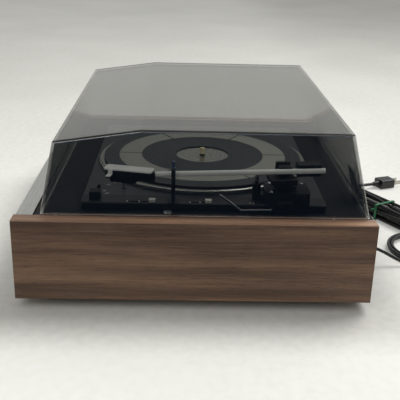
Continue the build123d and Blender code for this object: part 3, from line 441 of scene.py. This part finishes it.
# %% [markdown]
# Turned metal and grooved rubber repeat in rings round the spindle. The distance from the platter's
# axis is the only thing that matters, so the position is moved to the axis and its length is taken in
# the plane. A one-dimensional noise of that radius gives lathe marks, and a sine gives even grooves.
# The mat's true grooves are under a millimetre apart; they are drawn 3.2 mm apart so that they show.
# The ridges are drawn paler than the grooves, in soft patches about 17 mm across.
# The ring is six pieces, with a dark line at each joint. The bearing from the spindle is folded into
# one sixth of a turn, and its distance from the middle of that sixth is the distance from the line.

# %% Rings round the spindle
spindle = Vector((21.0, 11.0, 0.0)) * MM
joint_inner, joint_outer = 0.7 * MM, 1.1 * MM
half_sixth = math.radians(30)


def from_spindle(tree):
    """The vector from the foot of the spindle's axis to the place on the object."""
    place = add(tree, "ShaderNodeTexCoord").outputs["Object"]
    return add(tree, "ShaderNodeVectorMath", (place, spindle), operation="SUBTRACT")


def radius_from_spindle(tree):
    """The distance from the spindle's axis in metres."""
    flat = add(tree, "ShaderNodeVectorMath", (from_spindle(tree), (1, 1, 0)), operation="MULTIPLY")
    return add(tree, "ShaderNodeVectorMath", (flat,), operation="LENGTH").outputs["Value"]


def off_the_joints(tree):
    """0 on the six lines where pieces of the ring meet, and 1 between them."""
    around = add(tree, "ShaderNodeSeparateXYZ", (from_spindle(tree),)).outputs
    angle = add(tree, "ShaderNodeMath", (around["X"], around["Y"]), operation="ARCTAN2")
    for value, step in ((half_sixth, "ADD"), (2 * half_sixth, "FLOORED_MODULO"), (half_sixth, "SUBTRACT")):
        angle = add(tree, "ShaderNodeMath", (angle, value), operation=step)
    turn = add(tree, "ShaderNodeMath", (angle,), operation="ABSOLUTE")
    aside = add(tree, "ShaderNodeMath", (turn, radius_from_spindle(tree)), operation="MULTIPLY")
    return add(tree, "ShaderNodeMapRange", (aside, joint_inner, joint_outer))


def turned(name, colours, pitch, rough, depth=0.02, jointed=False):
    """Aluminium faced on a lathe, with marks at that pitch in mm; jointed adds the six dark lines."""
    material, tree, shader = new_finish(name, Metallic=1.0)
    scaled = (radius_from_spindle(tree), 1 / (pitch * MM))
    steps = add(tree, "ShaderNodeMath", scaled, operation="MULTIPLY")
    size = {"W": steps, "Scale": 1.0, "Detail": 3.0}
    marks = add(tree, "ShaderNodeTexNoise", size, noise_dimensions="1D")
    tone = add(tree, "ShaderNodeValToRGB", (marks,), stops=zip(noise_range, colours))
    if jointed:
        sides = {"Factor": off_the_joints(tree), "A": linear("#33352F"), "B": tone}
        tone = add(tree, "ShaderNodeMix", sides, data_type="RGBA").outputs["Result"]
    dull = add(tree, "ShaderNodeMapRange", (marks, *noise_range, *rough))
    relief = add(tree, "ShaderNodeBump", {"Height": marks, "Distance": depth * MM, "Strength": 0.8})
    feed(tree, shader, {"Base Color": tone, "Roughness": dull, "Normal": relief})
    return material


platter_metal = turned("turned_aluminium", ("#9C9D98", "#CBCCC6"), pitch=0.9, rough=(0.22, 0.36))
ring_greys, disc_greys = ("#A9AAA2", "#B8B9B1"), ("#A6A7A1", "#D0D1CA")
ring_metal = turned("satin_anodised_ring", ring_greys, pitch=1.4, rough=(0.5, 0.6), depth=0.01, jointed=True)
disc_metal = turned("spun_centre_disc", disc_greys, pitch=1.1, rough=(0.2, 0.32), depth=0.03)
dress(platter_metal, "platter")
dress(ring_metal, "mat_ring")
dress(disc_metal, "centre_disc")

# %% Grooved mat
groove_pitch, ridge_patch_size = 3.2 * MM, 16.7 * MM
mat_rubber, tree, shader = new_finish("grooved_mat_rubber")
waves = (radius_from_spindle(tree), 2 * math.pi / groove_pitch)
phase = add(tree, "ShaderNodeMath", waves, operation="MULTIPLY")
sine = add(tree, "ShaderNodeMath", (phase,), operation="SINE")
ridge = add(tree, "ShaderNodeMapRange", (sine, -1.0, 1.0))
place = add(tree, "ShaderNodeTexCoord").outputs["Object"]
ridge_patches = add(tree, "ShaderNodeTexNoise", {"Vector": place, "Scale": 1 / ridge_patch_size, "Detail": 5.0})
pale_ridges = add(tree, "ShaderNodeMath", (ridge, ridge_patches), operation="MULTIPLY")
tone = add(tree, "ShaderNodeValToRGB", (pale_ridges,), stops=((0.0, "#0E1216"), (1.0, "#555B63")))
dull = add(tree, "ShaderNodeMapRange", (pale_ridges, 0.0, 1.0, 0.42, 0.62))
relief = add(tree, "ShaderNodeBump", {"Height": ridge, "Distance": 0.35 * MM, "Strength": 0.7})
feed(tree, shader, {"Base Color": tone, "Roughness": dull, "Normal": relief})
dress(mat_rubber, "platter_mat")

# %% [markdown]
# The chassis is pressed steel under fine charcoal enamel. Along its right edge, where the controls
# slide, a satin black strip is printed. A mask on the X position switches between the two, because
# the strip has a straight edge and no thickness.

# %% Chassis enamel
strip_left, strip_blur, speck_size = 0.1570, 0.0002, 0.8 * MM
enamel, tree, shader = new_finish("charcoal_enamel")
place = add(tree, "ShaderNodeTexCoord").outputs["Object"]
speck = add(tree, "ShaderNodeTexNoise", {"Vector": place, "Scale": 1 / speck_size, "Detail": 3.0})
plain = add(tree, "ShaderNodeValToRGB", (speck,), stops=((0.0, "#26282A"), (1.0, "#3B3D3F")))
across = add(tree, "ShaderNodeSeparateXYZ", (place,)).outputs["X"]
strip = add(tree, "ShaderNodeMapRange", (across, strip_left - strip_blur, strip_left + strip_blur))
sides = {"Factor": strip, "A": plain, "B": linear("#0B0C0E")}
coat = add(tree, "ShaderNodeMix", sides, data_type="RGBA").outputs["Result"]
gloss = add(tree, "ShaderNodeMapRange", (speck, 0.0, 1.0, 0.34, 0.5))
relief = add(tree, "ShaderNodeBump", {"Height": speck, "Distance": 0.03 * MM, "Strength": 0.6})
feed(tree, shader, {"Base Color": coat, "Roughness": gloss, "Normal": relief})
dress(enamel, "chassis_plate")

# %% [markdown]
# The moulded and plated small parts. Black ABS has a soft spark-eroded grain; chrome is nearly
# smooth; zinc-plated steel is duller with a faint bloom; nylon and ivory plastic are slightly yellow.
# The arm's tube has a pale satin lacquer, so it is drawn with little metal in it.

# %% Plastics, rubber and plated steel
soft_black, low_sheen = ("#0A0B0D", "#15171A"), {"Specular_IOR_Level": 0.3}
metal = {"Metallic": 1.0}
lathed, drawn = {"stretch": (1, 1, 6)} | metal, {"stretch": (1, 0.3, 1), "Metallic": 0.1}
black_abs = worked("black_moulded_abs", soft_black, grain=0.7, rough=(0.42, 0.58), depth=0.02, **low_sheen)
white_abs = worked("white_moulded_abs", ("#C9C8C0", "#E0DFD8"), grain=1.0, rough=(0.35, 0.45), depth=0.01)
ivory = worked("ivory_plastic", ("#DDCE9A", "#F0E5BC"), grain=1.5, rough=(0.25, 0.35), depth=0.01)
nylon = worked("natural_nylon", ("#C9C1A6", "#DAD3BC"), grain=1.2, rough=(0.4, 0.5), depth=0.01)
soft_rubber = worked("black_rubber", ("#121314", "#202224"), grain=0.9, rough=(0.65, 0.8), depth=0.05)
clear_pad = worked("clear_rubber_pad", ("#8B8D8C", "#A5A7A5"), grain=1.0, rough=(0.3, 0.42), depth=0.02)
chrome = worked("chrome_plate", ("#C6C8C8", "#DEE0E0"), grain=2.0, rough=(0.05, 0.12), **metal)
zinc = worked("zinc_plated_steel", ("#8A8C8D", "#AFB1B2"), grain=1.5, rough=(0.3, 0.45), depth=0.02, **metal)
brass = worked("turned_brass", ("#A98B4C", "#C7A865"), grain=0.6, rough=(0.2, 0.32), depth=0.01, **lathed)
satin_tube = worked("satin_aluminium_tube", ("#F2F3F1", "#FAFBF9"), grain=6.0, rough=(0.3, 0.36), **drawn)
cable_sheath = worked("cable_pvc_sheath", ("#08090A", "#131517"), grain=3.0, rough=(0.36, 0.5), depth=0.03)
tie_green = worked("green_tie_plastic", ("#0E5A36", "#1E8350"), grain=1.2, rough=(0.3, 0.5), depth=0.1)
bright_steel = worked("polished_steel", ("#D6D8D8", "#EEF0F0"), grain=2.0, rough=(0.12, 0.2), Metallic=0.6)

dress(black_abs, "arm_base", "gimbal_yoke", "pivot_block", "headshell", "cartridge", "counterweight")
dress(black_abs, "arm_rest", "lift_bar", "antiskate_dial", "force_dial", "speed_lever", "cord_glands")
dress(white_abs, "stylus", "start_slider", "size_slider")
dress(ivory, "spindle_cap", "spindle_ledge")
dress(nylon, "cam_gear")
dress(soft_rubber, "rubber_feet", "idler_wheel", "motor_mounts")
dress(clear_pad, "cover_bumpers")
dress(bright_steel, "transit_screws")
dress(chrome, "arm_latch", "reject_lever")
dress(zinc, "foot_screws", "spring_brackets", "bearing_post", "ball_race", "cam_stud", "idler_arm")
dress(zinc, "motor_body", "cue_lever", "hinge_leaves", "cover_leaves")
dress(brass, "motor_pulley")
dress(satin_tube, "tonearm_tube", "headshell_plate")
dress(tie_green, "hank_tie")
for cord in (mains_lead, signal_lead):
    cord.data.materials.append(cable_sheath)

# %% [markdown]
# The spindle is steel under the mat, drawn dark grey as a painted shade at its foot. Above it, a sleeve
# of ivory plastic keeps record holes from wear.
# A mask on the height switches between the two, at the level of the mat's top.

# %% Spindle
sleeve_foot, ivory_grain = 0.1182, 1.667 * MM
spindle_finish, tree, shader = new_finish("ivory_sleeved_spindle")
place = add(tree, "ShaderNodeTexCoord").outputs["Object"]
level = add(tree, "ShaderNodeSeparateXYZ", (place,)).outputs["Z"]
shaded_steel_below = add(tree, "ShaderNodeMath", (level, sleeve_foot), operation="LESS_THAN")
grain = add(tree, "ShaderNodeTexNoise", {"Vector": place, "Scale": 1 / ivory_grain, "Detail": 3.0})
sleeve = add(tree, "ShaderNodeValToRGB", (grain,), stops=((0.0, "#DDD0A2"), (1.0, "#F3EAC8")))
# The dark grey under the sleeve is a painted shade over the steel.
sides = {"Factor": shaded_steel_below, "A": sleeve, "B": linear("#4A4B48")}
tint = add(tree, "ShaderNodeMix", sides, data_type="RGBA").outputs["Result"]
dull = add(tree, "ShaderNodeMapRange", (grain, 0.0, 1.0, 0.25, 0.4))
feed(tree, shader, {"Base Color": tint, "Metallic": shaded_steel_below, "Roughness": dull})
dress(spindle_finish, "record_spindle")

# %% [markdown]
# A plug is moulded round its metal contacts. Each plug is one CAD part, so its finish changes from PVC
# to nickel along the plug's own axis, past the point where the metal comes out.


# %% Plug finishes
pvc_grain = 1.429 * MM


def plug_finish(name, route, metal_from, metal_to):
    """PVC, with metal between two distances in mm past the end of the cord's route."""
    last, end = Vector(route[-2]), Vector(route[-1])
    material, tree, shader = new_finish(name)
    place = add(tree, "ShaderNodeTexCoord").outputs["Object"]
    moved = add(tree, "ShaderNodeVectorMath", (place, end * MM), operation="SUBTRACT")
    heading = (moved, (end - last).normalized())
    along = add(tree, "ShaderNodeVectorMath", heading, operation="DOT_PRODUCT").outputs["Value"]
    past = add(tree, "ShaderNodeMath", (along, metal_from * MM), operation="GREATER_THAN")
    short = add(tree, "ShaderNodeMath", (along, metal_to * MM), operation="LESS_THAN")
    metal = add(tree, "ShaderNodeMath", (past, short), operation="MULTIPLY")
    grain = add(tree, "ShaderNodeTexNoise", {"Vector": place, "Scale": 1 / pvc_grain, "Detail": 3.0})
    pvc = add(tree, "ShaderNodeValToRGB", (grain,), stops=((0.0, "#0A0B0C"), (1.0, "#18191B")))
    sides = {"Factor": metal, "A": pvc, "B": linear("#B8B6AC")}
    tint = add(tree, "ShaderNodeMix", sides, data_type="RGBA").outputs["Result"]
    dull = add(tree, "ShaderNodeMapRange", (grain, 0.0, 1.0, 0.28, 0.5))
    feed(tree, shader, {"Base Color": tint, "Metallic": metal, "Roughness": dull})
    return material


dress(plug_finish("moulded_mains_plug", mains_tail, metal_from=34.0, metal_to=60.0), "mains_plug")
dress(plug_finish("moulded_signal_plug", signal_tail, metal_from=28.0, metal_to=60.0), "phono_plug")

# %% [markdown]
# The lid is smoked acrylic, moulded in one piece. It lets about half of the light through each wall,
# and mirrors more the flatter it is looked at. A see-through shader mixed with a mirror does this, and
# lets lamp light into the box, so the deck is lit through its lid as the real one is. The share that
# is mirrored is 4% head on and rises with the fifth power of one minus the cosine. That is the same
# from both sides of a face, which a wall needs when it is drawn without bending the light.
# Years of dusting leave hairlines that dull the shine, stretched along X.
# A solid rounded edge gathers light like a lens. It shows as a dark line with a bright one beside it,
# so both are painted over the bend by the slope of the surface, which is 0 on a wall and 1 on the top:
# the dark line as a painted shade in the see-through tint, the bright one as a painted highlight in the
# mirrored share. The sawn edge at the foot of the lid gets a painted highlight as well.

# %% Smoked acrylic
# The darker stops are a painted shade on the bend; the pale stops are the acrylic's own tint.
tint_and_bend_shade_stops = ((0.48, "#DEDEDD"), (0.56, "#5A5C5E"), (0.90, "#5A5C5E"), (0.97, "#DEDEDD"))
highlight_rises, highlight_falls = (0.20, 0.30, 0.0, 0.35), (0.42, 0.52, 1.0, 0.0)
foot_highlight_range = (0.1058, 0.1066, 0.5, 0.0)
hairline_size, head_on = 6.25 * MM, 0.04

acrylic, tree, shader = new_finish("smoked_acrylic")
tree.nodes.remove(shader)
coordinates = add(tree, "ShaderNodeTexCoord").outputs
wipes = add(tree, "ShaderNodeMapping", {"Vector": coordinates["Object"], "Scale": (0.35, 1, 1)})
hairlines = add(tree, "ShaderNodeTexNoise", {"Vector": wipes, "Scale": 1 / hairline_size, "Detail": 6.0})
haze = add(tree, "ShaderNodeMapRange", (hairlines, 0.35, 0.7, 0.015, 0.06))
normal = add(tree, "ShaderNodeSeparateXYZ", (coordinates["Normal"],)).outputs["Z"]
upright = add(tree, "ShaderNodeMath", (normal,), operation="ABSOLUTE")
tint_and_bend_shade = add(tree, "ShaderNodeValToRGB", (upright,), stops=tint_and_bend_shade_stops)
see_through_and_bend_shade = add(tree, "ShaderNodeBsdfTransparent", {"Color": tint_and_bend_shade})
shine = add(tree, "ShaderNodeBsdfGlossy", {"Color": linear("#F4F4F2"), "Roughness": haze})

# %% How much the acrylic mirrors
facing = add(tree, "ShaderNodeLayerWeight", {"Blend": 0.5}).outputs["Facing"]
fifth_power = add(tree, "ShaderNodeMath", (facing, 5.0), operation="POWER")
sheen = add(tree, "ShaderNodeMath", (fifth_power, 1 - head_on, head_on), operation="MULTIPLY_ADD")
# Painted highlight: a larger mirrored share on the bend and along the sawn foot of the lid.
rising = add(tree, "ShaderNodeMapRange", (upright, *highlight_rises))
falling = add(tree, "ShaderNodeMapRange", (upright, *highlight_falls))
painted_bright_line = add(tree, "ShaderNodeMath", (rising, falling), operation="MULTIPLY")
level = add(tree, "ShaderNodeSeparateXYZ", (coordinates["Object"],)).outputs["Z"]
foot_highlight = add(tree, "ShaderNodeMapRange", (level, *foot_highlight_range))
edges = add(tree, "ShaderNodeMath", (painted_bright_line, foot_highlight), operation="ADD")
mirror = add(tree, "ShaderNodeMath", (sheen, edges), operation="ADD", use_clamp=True)
wall = add(tree, "ShaderNodeMixShader", (mirror, see_through_and_bend_shade, shine))
feed(tree, tree.nodes["Material Output"], {"Surface": wall})
dress(acrylic, "dust_cover")

# %% [markdown]
# Small turned things, such as screw heads, are drawn by spinning a profile: a list of radius and height
# pairs in millimetres. A modelling program calls this a lathe. The arm base is held by screws with
# domed heads. Their polished tops catch the light from the side, and that is all one sees of them.


# %% A lathe for small parts
def mounted(name, mesh, material):
    """A piece of the fixed body, with its finish."""
    mesh.materials.append(material)
    piece = placed(name, mesh)
    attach(piece, "root")
    return piece


def finished_mesh(name, shape):
    """Turns a shape under construction into a mesh, with all its faces pointing outwards."""
    bmesh.ops.recalc_face_normals(shape, faces=shape.faces)
    mesh = bpy.data.meshes.new(name)
    shape.to_mesh(mesh)
    shape.free()
    return mesh


def spin(name, profile, place, sides=32):
    """A turned piece that stands upright; its profile runs from the foot to the top."""
    shape = bmesh.new()
    rings = []
    angles = [2 * math.pi * i / sides for i in range(sides)]
    for radius, rise in profile:
        around = [(radius * math.cos(a), radius * math.sin(a), rise) for a in (angles if radius else [0])]
        rings.append([shape.verts.new(Vector(point) * MM) for point in around])
    for low, high in zip(rings, rings[1:]):
        for i in range(sides):
            j = i + 1
            corners = [low[i % len(low)], low[j % len(low)], high[j % len(high)], high[i % len(high)]]
            unique = list(dict.fromkeys(corners))
            if len(unique) > 2:
                shape.faces.new(unique)
    shape.faces.new(list(reversed(rings[0])))
    shape.transform(Matrix.Translation(Vector(place) * MM))
    mesh = finished_mesh(name, shape)
    mesh.set_sharp_from_angle(angle=math.radians(35))
    return mounted(name, mesh, chrome)


# %% Arm base screws
domed_head = [(2.1, 0), (2.1, 0.5), (1.8, 1.0), (1.1, 1.35), (0, 1.5)]
base_top = 124.6
for number, (x, y) in enumerate(((152.0, 84.0), (152.0, 121.0), (181.0, 84.0)), 1):
    spin(f"arm_base_screw_{number}", domed_head, (x, y, base_top))
print("screws on the arm base:", number)

# %% [markdown]
# The chassis floats on four coil springs, one at each corner. The model keeps the space of each one as
# a plain sleeve. Here each is drawn as steel wire wound in eight turns, with the last turn at each end
# laid flat so that the spring stands square. A ring of eight points follows a helix from foot to top.

# %% Suspension springs
dark_wire = ("#7E8081", "#A6A8A9")
spring_steel = worked("spring_steel", dark_wire, grain=0.8, rough=(0.25, 0.4), depth=0.01, **metal)


def coil_spring(name, x, y, low, high, outer, wire_size, turns, steps=24, sides=8):
    """A compression spring with closed ends; all sizes in mm."""
    shape = bmesh.new()
    half = wire_size / 2
    rings = []
    for i in range(turns * steps + 1):
        turn = i / steps
        climb = min(max(turn - 1, 0) / (turns - 2), 1)
        laid = min(turn, 1) + max(turn - turns + 1, 0)
        rise = low + half + climb * (high - low - 3 * wire_size) + wire_size * laid
        angle = 2 * math.pi * turn
        ring = []
        for k in range(sides):
            bit = 2 * math.pi * k / sides
            reach = outer - half + half * math.cos(bit)
            corner = (x + reach * math.cos(angle), y + reach * math.sin(angle), rise + half * math.sin(bit))
            ring.append(shape.verts.new(Vector(corner) * MM))
        rings.append(ring)
    for one, two in zip(rings, rings[1:]):
        for k in range(sides):
            following = (k + 1) % sides
            shape.faces.new((one[k], one[following], two[following], two[k]))
    shape.faces.new(list(reversed(rings[0])))
    shape.faces.new(rings[-1])
    mesh = finished_mesh(name, shape)
    mesh.shade_smooth()
    return mounted(name, mesh, spring_steel)


spring_sizes = {"low": 69.0, "high": 107.6, "outer": 9.0, "wire_size": 1.5, "turns": 8}
spring_places = [(x, y) for x in (-111, 146) for y in (-91, 111)]
for number, (x, y) in enumerate(spring_places, 1):
    spring = coil_spring(f"suspension_spring_{number}", x, y, **spring_sizes)
    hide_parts("suspension_springs")
print("springs:", number)

# %% [markdown]
# The printing on the chassis is white ink, a few hundredths of a millimetre thick. The three turntable
# speeds stand by the speed lever. Short ticks run along the right edge, beside the sliders. Ink has
# no body of its own, so each mark is a flat face laid 0.05 mm over the enamel.

# %% White printing
ink = worked("white_screen_ink", ("#BDBDB8", "#D9D9D4"), grain=0.5, rough=(0.5, 0.65))
ink_level = 109.65


def ticks(name, marks):
    """Flat marks; each is a middle, a width along X and a depth along Y, in mm."""
    corners, faces = [], []
    for x, y, wide, deep in marks:
        first = len(corners)
        for side, end in ((-1, -1), (1, -1), (1, 1), (-1, 1)):
            corners.append(Vector((x + side * wide / 2, y + end * deep / 2, ink_level)) * MM)
        faces.append((first, first + 1, first + 2, first + 3))
    mesh = bpy.data.meshes.new(name)
    mesh.from_pydata(corners, [], faces)
    return mounted(name, mesh, ink)


def printed(text, x, y, size):
    """A number with its middle at that place, readable from the front; sizes in mm."""
    curve = bpy.data.curves.new(f"speed_{text}", "FONT")
    curve.body = text
    curve.size = size * MM
    curve.align_x, curve.align_y = "CENTER", "CENTER"
    curve.resolution_u = 3
    drawn = bpy.data.objects.new(f"speed_{text}_outline", curve)
    mesh = bpy.data.meshes.new_from_object(drawn)
    bpy.data.objects.remove(drawn)
    mesh.transform(Matrix.Translation(Vector((x, y, ink_level)) * MM))
    mesh.materials.clear()
    return mounted(f"speed_mark_{text}", mesh, ink)


number_height = 6.0
speeds = (("33", 123.0, -101.5), ("45", 144.0, -104.6), ("78", 152.5, -100.9))
for text, x, y in speeds:
    printed(text, x, y, number_height)
tick_x, tick_width, tick_depth = 176.5, 3.0, 1.4
tick_places = (-75.6, -62.4, -5.8, 5.3, 41.0, 61.0, 65.0)
ticks("slider_ticks", [(tick_x, y, tick_width, tick_depth) for y in tick_places])
print("marks:", len(speeds), "numbers and", len(tick_places), "ticks")

# %% [markdown]
# Last, the scene is brought up to date. Dressing a part changes how it looks and not how big it is.

# %% Finish
bpy.context.view_layer.update()
